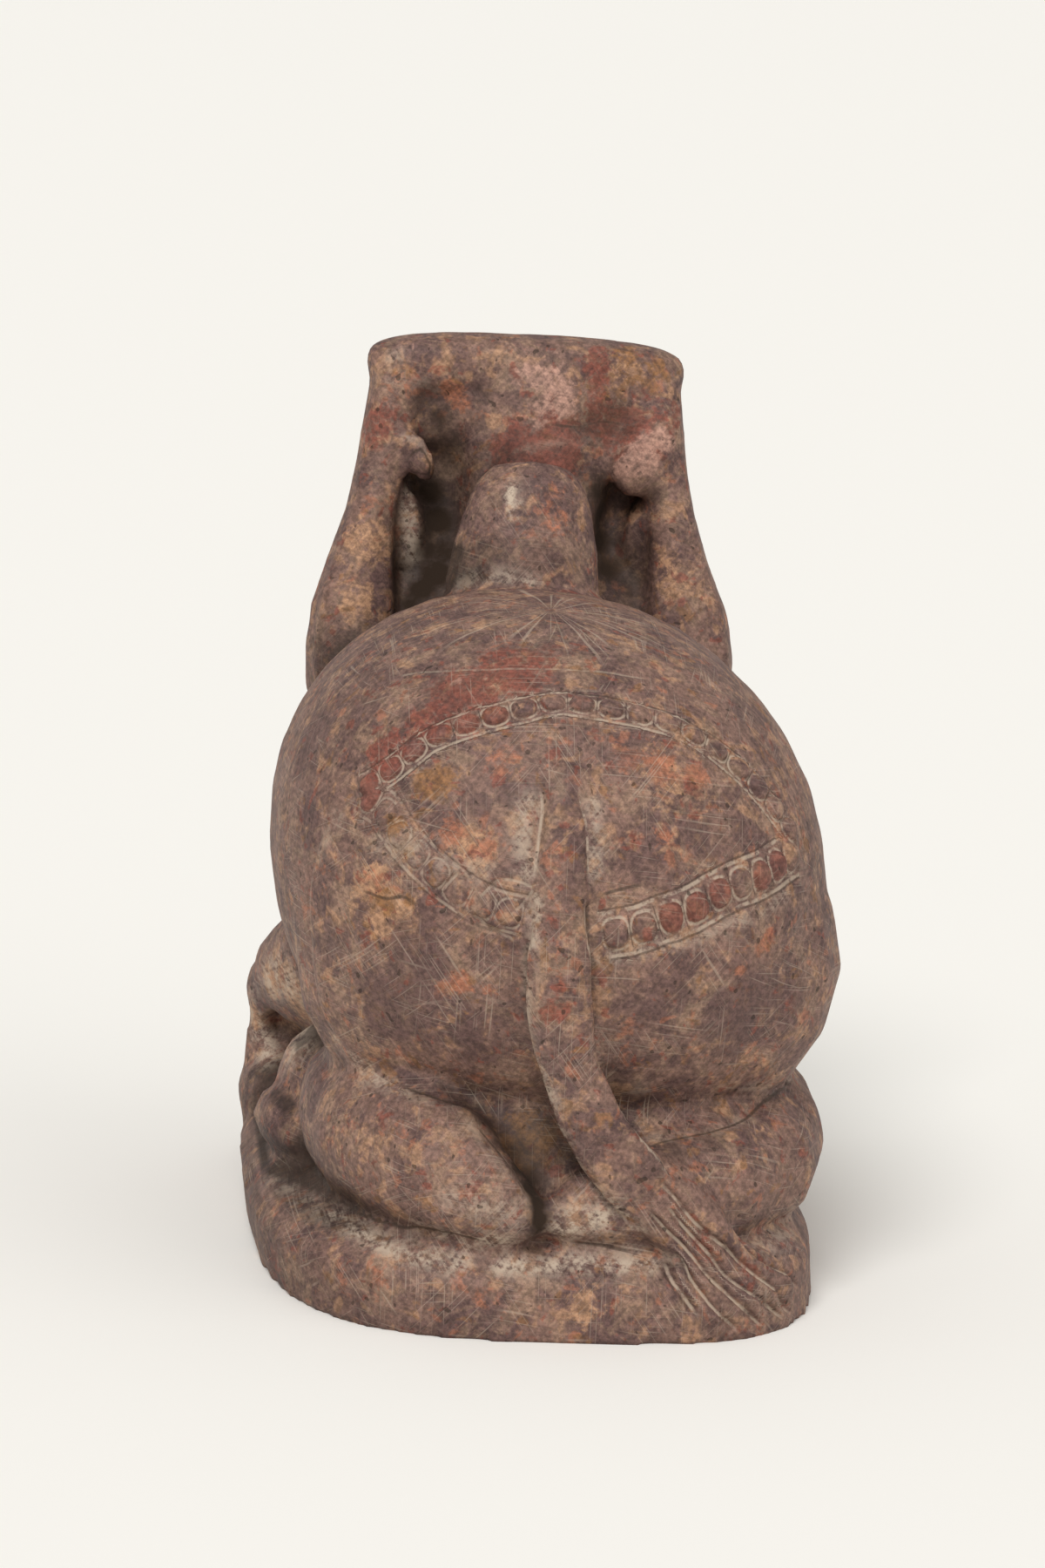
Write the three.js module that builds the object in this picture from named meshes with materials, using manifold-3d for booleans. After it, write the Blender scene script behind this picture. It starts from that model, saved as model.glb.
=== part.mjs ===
// A small reclining Nandi bull carved with its base from one block of mottled soapstone.
// Millimetres, +Z up. The bull faces -Y, so its left side is +X. The origin is under the middle of the whole.
// Every form is a closed solid made from a sphere, and they are joined into one stone.

import * as THREE from "three";
import { mergeVertices } from "three/addons/utils/BufferGeometryUtils.js";
import Module from "manifold-3d";

const wasm = await Module();
wasm.setup();

// Sizes that can be set by themselves.
const figureHeight = 114; // from the top of the base to the top of the horns
const baseHeight = 14;
const baseLength = 121;
const baseWidth = 82;
const baseEdgeRounding = 6;
const baseUndercut = 2.4; // how far its left side leans in at the ground
const bellyWidth = 79;
const hornThickness = 10; // of the bar across the head
const tailWidth = 7;
const tailRise = 3; // how far the tail stands proud of the rump
const beadLength = 4.1; // along the strap
const beadWidth = 3.9; // across the strap
const beadRise = 0.55;

// The carving is written for a figure of this height, and it is drawn out to the height above.
const carvedHeight = 114;
const carvedBellyWidth = 79;
const grow = figureHeight / carvedHeight;
const widen = bellyWidth / (carvedBellyWidth * grow);

const stone = new THREE.MeshStandardMaterial({ color: 0x8b6f61, roughness: 0.62, metalness: 0 });

// A point of the carving: x across, y towards the tail, z above the base.
const at = (x, y, z) => new THREE.Vector3(x * grow, y * grow, baseHeight + z * grow);

// A sine or cosine drawn out to a squarer wave as the power grows over 2.
const squared = (wave, power) => Math.sign(wave) * Math.abs(wave) ** (2 / power);

// A closed form made from a sphere: place puts each vertex by its angle from the pole and about it.
function roundForm(sides, rings, place) {
  const form = new THREE.SphereGeometry(1, sides, rings);
  form.deleteAttribute("normal");
  form.deleteAttribute("uv");
  const position = form.attributes.position;
  const vertex = new THREE.Vector3();
  for (let i = 0; i < position.count; i++) {
    vertex.fromBufferAttribute(position, i);
    const polar = Math.acos(THREE.MathUtils.clamp(vertex.y, -1, 1));
    const turn = Math.atan2(vertex.z, vertex.x);
    vertex.copy(place(polar, turn));
    position.setXYZ(i, vertex.x, vertex.y, vertex.z);
  }
  return mergeVertices(form, 1e-4);
}

// The form as a solid that can be joined or cut, turned the right way out.
function solid(geometry) {
  const merged = mergeVertices(geometry, 1e-4);
  const triVerts = new Uint32Array(merged.index.array);
  const vertProperties = merged.attributes.position.array;
  const made = new wasm.Manifold(new wasm.Mesh({ numProp: 3, vertProperties, triVerts }));
  if (made.volume() > 0) return made;
  for (let i = 0; i < triVerts.length; i += 3) {
    [triVerts[i + 1], triVerts[i + 2]] = [triVerts[i + 2], triVerts[i + 1]];
  }
  return new wasm.Manifold(new wasm.Mesh({ numProp: 3, vertProperties, triVerts }));
}

// An ellipsoid, squarer as its power grows, tipped about X (nod), then Y (lean), then Z (swing) in degrees.
function boulder(centre, radii, { nod = 0, lean = 0, swing = 0, power = 2, sides = 20, rings = 12 } = {}) {
  const turned = new THREE.Euler(...[nod, lean, swing].map(THREE.MathUtils.degToRad), "XYZ");
  return solid(
    roundForm(sides, rings, (polar, turn) =>
      new THREE.Vector3(
        radii[0] * squared(Math.sin(polar), power) * squared(Math.cos(turn), power),
        radii[1] * squared(Math.cos(polar), power),
        radii[2] * squared(Math.sin(polar), power) * squared(Math.sin(turn), power),
      )
        .multiplyScalar(grow)
        .applyEuler(turned)
        .add(centre),
    ),
  );
}

const upright = new THREE.Vector3(0, 0, 1);
const towardsTail = new THREE.Vector3(0, 1, 0);

// A limb along a smooth line: stations hold a point and the half width and half depth there.
function limb(stations, { sides = 12, rings = 20, power = 2, blunt = 4, depthAxis = upright } = {}) {
  const line = new THREE.CatmullRomCurve3(stations.map((s) => s.point));
  const girth = new THREE.CatmullRomCurve3(
    stations.map((s) => new THREE.Vector3(s.half, s.deep ?? s.half, 0)),
  );
  return solid(
    roundForm(sides, rings, (polar, turn) => {
      const along = (1 - Math.cos(polar)) / 2;
      const taper = (1 - Math.abs(2 * along - 1) ** blunt) ** (1 / blunt);
      const forward = line.getTangent(along);
      const side = new THREE.Vector3().crossVectors(forward, depthAxis).normalize();
      const deep = new THREE.Vector3().crossVectors(side, forward);
      const size = girth.getPoint(along).multiplyScalar(grow * taper);
      return line
        .getPoint(along)
        .addScaledVector(side, size.x * squared(Math.cos(turn), power))
        .addScaledVector(deep, size.y * squared(Math.sin(turn), power));
    }),
  );
}

// The barrel of the body from tail to chest. Each station is a share of the length and gives the half width,
// half height and middle height of a full section, which shrinks to nothing at both ends.
const barrelStations = new THREE.CatmullRomCurve3(
  [
    [36.5, 34, 43],
    [39.5, 38.5, 42],
    [39.5, 38, 42.5],
    [35, 37, 40],
    [30, 36, 38],
  ].map((s) => new THREE.Vector3(...s)),
);

function onBarrel(polar, turn) {
  const middleX = -2;
  const lean = 0.08; // to the left for each millimetre up
  const rear = 53;
  const front = -50;
  const endPower = 2.5;
  const sectionPower = 2.15;
  const section = barrelStations.getPoint(polar / Math.PI);
  const y = (rear + front) / 2 + ((rear - front) / 2) * squared(Math.cos(polar), endPower);
  const full = squared(Math.sin(polar), endPower);
  const up = section.y * full * squared(Math.sin(turn), sectionPower);
  const out = section.x * widen * full * squared(Math.cos(turn), sectionPower);
  return at(middleX + lean * up + out, y, section.z + up);
}

const barrel = () => solid(roundForm(36, 21, onBarrel));

// A point of the base's rounded side: turn goes round the plan from the left, and z is above the underside.
function onBase(turn, z) {
  const middleX = -0.7;
  const middleY = -4;
  const rearLeft = Math.cos(turn) > 0 && Math.sin(turn) > 0;
  const planPower = rearLeft ? 3 : 3.6; // the rear left corner is the roundest
  const edgePower = (2 * baseHeight) / baseEdgeRounding;
  const out = (1 - (z / baseHeight) ** edgePower) ** (1 / edgePower);
  const leanIn = baseUndercut * Math.max(0, squared(Math.cos(turn), planPower)) * (1 - z / baseHeight) ** 2;
  return new THREE.Vector3(
    middleX - leanIn + (baseWidth / 2) * out * squared(Math.cos(turn), planPower),
    middleY + (baseLength / 2) * out * squared(Math.sin(turn), planPower),
    z,
  );
}

function base() {
  const slab = roundForm(34, 10, (polar, turn) => {
    const z = baseHeight * Math.sqrt(Math.abs(Math.cos(polar)));
    const point = onBase(turn, z);
    return point.setZ(Math.sign(Math.cos(polar)) * z);
  });
  const ground = new THREE.BoxGeometry(baseWidth * 2, baseLength * 2, baseHeight * 2);
  ground.translate(0, 0, -baseHeight);
  ground.deleteAttribute("normal");
  ground.deleteAttribute("uv");
  return solid(slab).subtract(solid(ground));
}

const s = (x, y, z, half, deep) => ({ point: at(x, y, z), half, deep });

// The other half of a line of stations, from the middle outwards.
function mirrored(stations) {
  const mirror = new THREE.Vector3(-1, 1, 1);
  return stations.map((each) => ({ ...each, point: each.point.clone().multiply(mirror) })).reverse();
}

function haunches() {
  return [
    boulder(at(14, 19, 33), [20.5, 26, 24], { sides: 16, rings: 9 }),
    boulder(at(-20, 18, 32), [23, 26, 24], { sides: 16, rings: 9 }),
  ];
}

// The belly lies on the base between the legs.
const lap = () => boulder(at(0, -8, 5), [33, 46, 13], { power: 2.5, sides: 12, rings: 6 });

function shoulders() {
  return [1, -1].map((side) =>
    boulder(at(18 * side - 1, -27, 40), [15, 18, 26], { sides: 12, rings: 7 }),
  );
}

function chestAndDewlap() {
  return [
    boulder(at(0, -38, 30), [25, 19, 30], { sides: 14, rings: 7 }),
    limb(
      [
        s(0, -52, 82, 6, 5),
        s(0, -52.5, 66, 5.5, 6.5),
        s(0, -53, 50, 6, 7),
        s(0, -53, 34, 6, 7),
        s(0, -48, 18, 6, 6),
      ],
      { depthAxis: towardsTail, sides: 8, rings: 10 },
    ),
  ];
}

// A plain collar laid over the chest from horn to horn, with a bell.
function collar() {
  const leftHalf = [
    s(22.5, -37, 61, 2, 2.6),
    s(16, -46, 52, 2, 2.6),
    s(8, -54.5, 44.5, 2, 2.6),
    s(3, -58.5, 41, 2, 2.6),
  ];
  const middle = s(0, -59.5, 40.5, 2, 2.6);
  return [
    limb([...leftHalf, middle, ...mirrored(leftHalf)], { sides: 6, rings: 14, blunt: 10 }),
    boulder(at(0, -60, 34.5), [3.6, 3.2, 4.6], { sides: 8, rings: 6 }),
  ];
}

// The hind legs are folded along the flanks. The hocks meet under the tail. A wall of stone stands behind
// them, and a slope of stone comes down from it to where they meet.
function hindLegs() {
  return [
    boulder(at(-3, 32, 6), [25, 13, 17], { power: 2.5, sides: 12, rings: 6 }),
    limb([s(1, 36, 20, 9, 5), s(1, 41.5, 10, 7, 5), s(0.6, 46, 1, 4, 4)], {
      depthAxis: towardsTail,
      power: 2.4,
      sides: 8,
      rings: 6,
    }),
    boulder(at(24.5, -2, 8), [10.5, 14, 9], { sides: 12, rings: 8 }),
    limb(
      [
        s(0.1, 51.6, 1, 3, 3.8),
        s(8.5, 50, 4.2, 6.4, 7.2),
        s(14.5, 44.5, 7, 8.6, 10),
        s(20.5, 33, 7.5, 9.5, 11),
        s(23, 14, 8, 10, 11),
        s(22, -2, 10, 8, 10),
      ],
      { rings: 12 },
    ),
    limb([s(30, 14, 1.5, 4, 3.4), s(34, 3, 3, 3.8, 4.6), s(34.5, -6, 2, 4, 4)], { sides: 7, rings: 6 }),
    limb(
      [
        s(0.1, 50.8, 0.8, 3.2, 3.8),
        s(-7, 49, 3.5, 5.4, 6.6),
        s(-16, 45, 4.5, 7.5, 9),
        s(-28, 32, 5, 10.5, 9.5),
        s(-32.5, 14, 7, 10.5, 11),
        s(-31, -2, 10, 8, 10),
      ],
      { rings: 12 },
    ),
    limb([s(-34, 8, 2, 4, 4), s(-36, 0, 2, 3.8, 4.2), s(-36, -12, 1.5, 4, 4.2)], { sides: 7, rings: 6 }),
  ];
}

// The left foreleg is drawn up, with its hoof flat on the base. The right one is folded under.
function forelegs() {
  return [
    limb([s(20, -6, 27, 11, 13), s(28, -24, 20, 8.5, 9.5), s(32.5, -38, 15, 7, 7)], { rings: 10 }),
    boulder(at(31.7, -36, 14), [7, 7.5, 7], { sides: 12, rings: 8 }),
    limb([s(33, -35, 15, 5.5), s(34, -37, 8, 3.9), s(34.2, -38, 2, 4.3), s(34.3, -39, -3, 5)], {
      depthAxis: towardsTail,
      sides: 8,
      rings: 7,
    }),
    boulder(at(29, -37, -2.5), [10.2, 16, 8], { power: 2.5, sides: 12, rings: 7 }),
    boulder(at(20, -26, 10), [10, 14, 16], { sides: 12, rings: 8 }),
    limb([s(-23, -6, 22, 11, 13), s(-30, -26, 12, 8.5, 9.5), s(-32, -44, 5, 6.5, 6.5)], { rings: 10 }),
    limb([s(-31, -46, 3, 4, 4), s(-36, -32, 2, 3.8, 4), s(-37, -18, 1.5, 4.2, 4.2)], { sides: 7, rings: 6 }),
  ];
}

function hump() {
  const stations = [
    s(1.6, -17, 70, 13, 12),
    s(1.2, -19, 82, 11.2, 11),
    s(0.8, -21, 89, 9.6, 9.5),
    s(0.6, -23, 96.3, 8.2, 8.4),
  ];
  return [limb(stations, { depthAxis: towardsTail, rings: 9, sides: 12 })];
}

// The neck is broad enough to close the hollows beside the hump, and the nape stands out from it.
function neck() {
  return [
    limb([s(0, -30, 44, 26, 18), s(0, -38, 64, 24, 14), s(0, -47, 84, 22, 9.5), s(0, -43.5, 112, 19.5, 9)], {
      depthAxis: towardsTail,
      power: 2.6,
      sides: 14,
      rings: 9,
      blunt: 6,
    }),
    limb(
      [
        s(-1, -34, 70, 11, 10),
        s(-1, -37, 88, 10.5, 10),
        s(-1.8, -40.3, 102, 14.5, 8.8),
        s(-1.8, -41, 112, 17, 8),
      ],
      { depthAxis: towardsTail, rings: 8, sides: 10 },
    ),
  ];
}

function head() {
  return [
    boulder(at(0, -50, 95.5), [15.5, 10.5, 14], { nod: 18, power: 2.3, sides: 12, rings: 8 }),
    limb(
      [
        s(0, -46, 95, 14, 13),
        s(0, -53, 90.5, 12.5, 11.5),
        s(0, -59, 85.5, 10.5, 9.5),
        s(0, -63, 82, 9.6, 8.4),
      ],
      { power: 2.3, rings: 8, sides: 10, blunt: 6 },
    ),
    ...[1, -1].map((side) =>
      boulder(at(12.2 * side, -55.5, 97), [3, 3.8, 3], { nod: 30, sides: 8, rings: 6 }),
    ),
  ];
}

// The horns lie across the head as one bar and turn down at its corners to end on the shoulders.
function horns() {
  const half = hornThickness / 2 / grow;
  const barTop = 114;
  const barZ = barTop - half;
  const middleX = 0.4;
  const barEnd = (side) => s(middleX + 24.1 * side, -41, barZ, half, 7);
  const struts = [1, -1].map((side) =>
    limb(
      [
        s(23.5 * side, -29, 54, half * 1.1, 7),
        s(24.9 * side, -31, 63, half * 1.45, 8),
        s(24.9 * side, -33, 71, half * 1.4, 8),
        s(middleX + 23.7 * side, -35.5, 80, half, 7),
        s(middleX + 22 * side, -37.5, 89, half * 0.78, 6.4),
        s(middleX + 20.4 * side, -39.5, 99, half * 0.78, 6.2),
        s(middleX + 19.4 * side, -40.6, barZ + 1, half * 0.8, 6.2),
      ],
      { depthAxis: towardsTail, power: 2.6, sides: 8, rings: 12, blunt: 8 },
    ),
  );
  const bar = limb([barEnd(1), s(middleX, -41.5, barZ, half, 7.2), barEnd(-1)], {
    depthAxis: towardsTail,
    power: 3,
    sides: 10,
    rings: 12,
    blunt: 3,
  });
  return [bar, ...struts];
}

// The left ear is a small leaf against its horn. The right one is a broad lobe that runs up into its horn.
function ears() {
  return [
    limb([s(14.4, -33.8, 92, 1.3, 1.6), s(16, -33.2, 95.2, 2.1, 1.9), s(18.2, -34, 99.4, 1.6, 1.6)], {
      depthAxis: towardsTail,
      sides: 8,
      rings: 6,
    }),
    limb([s(-14, -33.5, 91.5, 2.8, 1.8), s(-17, -33, 96.5, 4.4, 2.4), s(-20.6, -35.5, 103.5, 3.4, 2.6)], {
      depthAxis: towardsTail,
      sides: 8,
      rings: 8,
    }),
  ];
}

// The stone between the neck and the corners of the horns is cut back a little from both.
function corners() {
  return [
    boulder(at(13, -42.6, 103), [9, 6.4, 9], { power: 2.6, sides: 10, rings: 6 }),
    boulder(at(-14, -41.2, 103), [8, 6.4, 9], { power: 2.6, sides: 10, rings: 6 }),
  ];
}

// A leaf of stone was left standing in each hollow between a horn and the neck.
function leaves() {
  return [1, -1].map((side) =>
    limb(
      [
        s(17.5 * side, -37, 76, 1.2, 2.5),
        s(16.6 * side, -37, 83, 2, 2.5),
        s(17.6 * side, -37, 90.5, 1.6, 2.5),
      ],
      { depthAxis: towardsTail, sides: 6, rings: 6 },
    ),
  );
}

// The tail comes down the rump, and the strands of its tuft fan out over the rear right corner of the base.
function tail() {
  const half = tailWidth / 2 / grow;
  const deep = tailRise / grow;
  const strandHalf = tailWidth / 4 / grow;
  const strandEnds = [111, 117, 124, 132, 140].map((turn, i) =>
    onBase(THREE.MathUtils.degToRad(turn), 1.5 + i * 0.8),
  );
  const strand = (end, i) => ({
    root: s(-13 - 1.3 * i, 53 - 0.5 * i, 7 + 0.8 * i, strandHalf * 0.7),
    bend: s(-19 - 1.6 * i, 52.8 - i, -1.5, strandHalf),
    end: { point: end, half: strandHalf * 0.9 },
  });
  return [
    limb(
      [
        s(0, 46.5, 63, half * 0.9, deep),
        s(0.3, 50.8, 53, half, deep),
        s(0.5, 52.4, 42, half, deep),
        s(0, 52.2, 32, half, deep),
        s(-2.2, 51.3, 22, half, deep),
        s(-6.3, 52.6, 14.5, half * 1.05, deep),
        s(-12.6, 53, 7.5, half * 1.25, deep),
        s(-19.1, 51.6, 1.5, half * 1.5, deep),
        s(-24, 49.8, -3.5, half * 1.3, deep),
      ],
      { depthAxis: towardsTail, power: 2.8, rings: 20, sides: 8, blunt: 10 },
    ),
    ...strandEnds.map(strand).map(({ root, bend, end }) =>
      limb([root, bend, end], { depthAxis: towardsTail, sides: 6, rings: 6 }),
    ),
  ];
}

// A strap of beads runs round the tail as a closed loop, pointed at the two flanks. Its bends are in degrees
// from the middle of the rump, to the left and up.
function beads() {
  const bends = [
    [40.5, 24],
    [33.2, 30],
    [20.5, 38],
    [7.8, 42.6],
    [-7.8, 43.5],
    [-18.4, 40.9],
    [-35.9, 31.7],
    [-44.6, 23.1],
    [-50.7, 14.3],
    [-38.1, 9.6],
    [-26.1, 6.6],
    [-16.3, 3.4],
    [-6.3, 0.1],
    [0, -2.4],
    [8.1, -0.3],
    [21, 4.3],
    [30.2, 12.6],
  ];
  const loop = new THREE.CatmullRomCurve3(bends.map(([x, y]) => new THREE.Vector3(x, y, 0)), true);
  const onRump = (share) => {
    const { x, y } = loop.getPoint(share % 1);
    return onBarrel(THREE.MathUtils.degToRad(Math.hypot(x, y)), Math.atan2(y, x));
  };
  const steps = 400;
  const lengths = [0];
  for (let i = 1; i <= steps; i++) {
    lengths.push(lengths[i - 1] + onRump((i - 1) / steps).distanceTo(onRump(i / steps)));
  }
  const count = Math.floor(lengths[steps] / beadLength);
  const middleOfBelly = at(0, 0, 42);
  return Array.from({ length: count }, (_, bead) => {
    const wanted = ((bead + 0.5) / count) * lengths[steps];
    const share = lengths.findIndex((length) => length >= wanted) / steps;
    const centre = onRump(share);
    const along = onRump(share + 0.01).sub(onRump(share - 0.01 + 1)).normalize();
    const outward = centre.clone().sub(middleOfBelly);
    const across = new THREE.Vector3().crossVectors(outward, along).normalize();
    outward.crossVectors(along, across);
    return solid(
      roundForm(6, 3, (polar, turn) =>
        centre
          .clone()
          .addScaledVector(outward, beadRise * Math.cos(polar))
          .addScaledVector(along, (beadLength / 2) * Math.sin(polar) * Math.cos(turn))
          .addScaledVector(across, (beadWidth / 2) * Math.sin(polar) * Math.sin(turn)),
      ),
    );
  });
}

const forms = [
  base(),
  barrel(),
  lap(),
  ...haunches(),
  ...shoulders(),
  ...chestAndDewlap(),
  ...hindLegs(),
  ...forelegs(),
  ...hump(),
  ...neck(),
  ...head(),
  ...horns(),
  ...ears(),
  ...corners(),
  ...leaves(),
  ...collar(),
  ...tail(),
  ...beads(),
];

// The bend of the left knee is hollowed out behind.
const kneeHollow = boulder(at(33.4, -29.5, 8.4), [2.6, 6, 3.9], { sides: 10, rings: 8 });

let carving = forms[0];
for (const form of forms.slice(1)) carving = carving.add(form);
carving = carving.subtract(kneeHollow);

const mesh = carving.getMesh();
const geometry = new THREE.BufferGeometry();
geometry.setAttribute("position", new THREE.BufferAttribute(mesh.vertProperties, mesh.numProp));
geometry.setIndex(new THREE.BufferAttribute(mesh.triVerts, 1));
geometry.computeBoundingBox();
const middle = geometry.boundingBox.getCenter(new THREE.Vector3());
geometry.translate(-middle.x, -middle.y, -geometry.boundingBox.min.z);
geometry.computeVertexNormals();

const nandi = new THREE.Mesh(geometry, stone);
nandi.name = "nandi_bull";

const part = new THREE.Group();
part.add(nandi);

export default part;
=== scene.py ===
"""A small reclining Nandi bull of mottled soapstone: one carved stone on a pale studio floor."""

import math

import bmesh
import bpy
import numpy as np
from bpy.props import FloatProperty, FloatVectorProperty, IntProperty, PointerProperty
from bpy.types import Operator, Panel, PropertyGroup
from mathutils import Euler, Matrix, Vector, noise
from mathutils.bvhtree import BVHTree


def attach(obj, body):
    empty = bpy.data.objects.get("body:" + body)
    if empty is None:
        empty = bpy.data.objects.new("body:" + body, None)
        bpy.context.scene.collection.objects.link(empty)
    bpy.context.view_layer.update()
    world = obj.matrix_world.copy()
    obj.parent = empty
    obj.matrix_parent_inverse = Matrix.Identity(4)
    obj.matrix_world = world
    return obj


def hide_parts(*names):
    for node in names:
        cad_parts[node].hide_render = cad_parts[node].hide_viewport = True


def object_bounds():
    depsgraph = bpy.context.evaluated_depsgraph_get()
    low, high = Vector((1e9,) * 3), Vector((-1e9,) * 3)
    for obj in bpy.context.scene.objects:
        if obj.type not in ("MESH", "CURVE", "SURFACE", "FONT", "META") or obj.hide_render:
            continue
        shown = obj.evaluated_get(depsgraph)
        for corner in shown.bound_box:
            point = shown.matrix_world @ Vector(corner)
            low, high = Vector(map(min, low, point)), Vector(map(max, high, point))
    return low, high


bl_info = {
    "name": "Nandi bull figure",
    "version": (1, 0, 0),
    "blender": (4, 5, 0),
    "location": "3D View > Sidebar > Nandi",
    "description": "Carves the soapstone bull round its solid and sets it in a plain studio",
    "category": "Object",
}

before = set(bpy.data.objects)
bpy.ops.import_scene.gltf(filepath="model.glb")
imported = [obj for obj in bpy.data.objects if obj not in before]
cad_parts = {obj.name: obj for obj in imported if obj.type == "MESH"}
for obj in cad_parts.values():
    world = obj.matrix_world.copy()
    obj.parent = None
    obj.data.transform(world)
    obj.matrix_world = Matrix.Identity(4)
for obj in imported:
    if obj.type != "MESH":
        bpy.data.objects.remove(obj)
SOLID_BOX = [list(corner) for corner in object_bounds()]
MM = 0.001

# Lines of the carving, in millimetres. Each is laid on the surface of the stone.
STRAP_UPPER = [
    (29.3, 43.4, 71.5), (26.9, 45.6, 73.6), (24, 46.6, 76.2), (20, 46.6, 79.2), (16.1, 47.2, 81.3),
    (12.1, 47.4, 82.8), (8.1, 47.3, 84), (3, 46.3, 84.8), (-4.1, 46.5, 84.4), (-11.4, 45.7, 82.7),
    (-16.2, 45.5, 81.2), (-22.6, 44.6, 76.7), (-27.9, 43.1, 71.3), (-31.6, 41, 66.4),
]
STRAP_RIGHT = [
    (-31.2, 41.5, 64.6), (-29.4, 45.4, 64), (-26.4, 49.1, 62.9), (-23.1, 52.2, 62.1),
    (-19.3, 54.6, 60.7), (-15.7, 55.9, 59), (-11.8, 57.1, 57.7), (-8.2, 57.9, 56.3), (-3.4, 58.6, 55.2),
]
STRAP_LEFT = [
    (28.8, 44.2, 71), (26.2, 47.1, 69.8), (24.2, 50, 67.2), (21.8, 52.6, 64.6), (18.4, 54.8, 61.9),
    (14.6, 56, 59.6), (11, 57.2, 58.2), (7.2, 58.2, 57.6),
]
STRAP_WORN_LINES = [
    [(15.9, 55.5, 62.9), (18.1, 55.5, 60.1)],
    [(12.9, 56.8, 59.9), (10.7, 57.1, 62.1), (8.1, 57.6, 62.2), (5.9, 58, 61.4)],
    [(5.9, 58, 61.4), (7.4, 58, 59.2), (8.8, 57.7, 57.7)],
    [(13.9, 56.6, 57.3), (11.8, 57.1, 55.9), (8.3, 57.7, 54.2)],
]
# The straps: line, half width, cells that are red, and how far each is worn away.
STRAPS = (
    (STRAP_UPPER, 1.75, (0, 1, 2, 3, 4, 5), 0.05),
    (STRAP_RIGHT, 2.6, (1, 2, 4, 5, 6), 0.0),
    (STRAP_LEFT, 2.2, (0,), 0.35),
)
# The rounding of a cell of the strap, its half length in cells, and its half width in those of the strap.
CELL_POWER = 2.6
CELL_LENGTH = 0.42
CELL_WIDTH = 0.80
# The cut rim round a cell, in sizes of the cell, and the cut borders, in half widths of the strap.
RIM_PLACE = 1.12
RIM_WIDTH = 0.20
BORDER_PLACE = 1.22
BORDER_WIDTH = 0.16

TAIL_LEFT_EDGE = [
    (5.9, 58.1, 60), (5.9, 58.1, 57.9), (5.8, 57.9, 51.9), (5.2, 57, 45.8), (4, 57.4, 40),
    (2, 57.8, 34.1), (-0.7, 58.1, 28.3), (-4.5, 58.4, 22.5), (-7.9, 59.2, 17.6), (-9.4, 58.6, 15.5),
]
TAIL_RIGHT_EDGE = [
    (-1.4, 58.2, 60.5), (-1.5, 58.3, 58.2), (-1.6, 58.1, 52.2), (-2, 57.3, 46.1), (-2.5, 57.7, 40.2),
    (-4.5, 57.3, 35.4), (-7.6, 58.9, 29.9), (-11.9, 59.6, 25.4), (-15.1, 59.5, 22.5),
]
# How far inside the tail's edges its pale rims lie, in millimetres.
TAIL_RIM_WIDTH = 1.2
# How far from each edge the tail is lifted, and over what length that fades at its top and foot.
TAIL_REACH = 9.0
TAIL_TOP_FADE = 9
TAIL_FOOT_FADE = 5
TAIL_ROOT = [
    [(5.6, 54.2, 74.4), (5.3, 55.3, 72.7), (5.4, 56.3, 70), (5.8, 57.2, 66.6), (6.1, 57.8, 62)],
    [(0.6, 55.1, 74.9), (0, 56.1, 72.5), (-0.6, 56.7, 69.7), (-0.9, 57.5, 66.3), (-1.3, 58.1, 61.5)],
]
TUFT = [
    [(-12.7, 60.4, 22.4), (-15.2, 60.1, 20), (-18.4, 59.3, 16.3), (-24.4, 56.2, 11.1), (-33.4, 50, 1.6)],
    [(-14, 60.5, 19.2), (-16.5, 59.8, 16.1), (-19.5, 58.8, 13), (-24.5, 57.5, 7.9), (-32.1, 51.8, 1.5)],
    [(-11.5, 60, 18.5), (-14.5, 59.6, 15.2), (-17.8, 59.8, 12.1), (-22.9, 59, 7.2), (-28.9, 55.4, 1.1)],
    [(-15.5, 58.8, 12.6), (-17.5, 59.5, 9.3), (-20.2, 60.3, 6.1), (-25.3, 58, 1)],
    [(-14.2, 57.1, 10.7), (-15.7, 59.5, 8.4), (-17.7, 60.1, 5.6), (-19.3, 60, 3.6)],
    [(-22.5, 56.7, 17.1), (-25.1, 54.2, 13.5), (-28, 53.2, 10.6), (-34.7, 46.8, 4.6)],
]
# The middle of the burst on the back, across and along the bull.
BURST = (2, 21)
BURST_LINES = [
    [(4.2, 31.5, 91.5), (6.4, 37.6, 89.7)],
    [(1.6, 26, 93), (1.3, 30, 92), (0.4, 35, 90.6)],
]
BACK_LINE = [
    (24.3, 32.2, 85.6), (17.8, 36.9, 87.2), (9.7, 39.7, 88.2), (1.4, 40.3, 88.5), (-10.1, 39, 87.3),
]
HAUNCH_LINE = [
    (28.9, 44, 71.1), (31.4, 41.7, 68.2), (33.2, 39.8, 65), (34.3, 38.6, 61.5), (34.7, 37.5, 58.5),
    (34.7, 35.9, 52.5), (34.2, 34.9, 46.2), (33.2, 35.6, 41.4), (31.1, 36.5, 36.8), (28.2, 36.2, 31.4),
]

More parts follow.
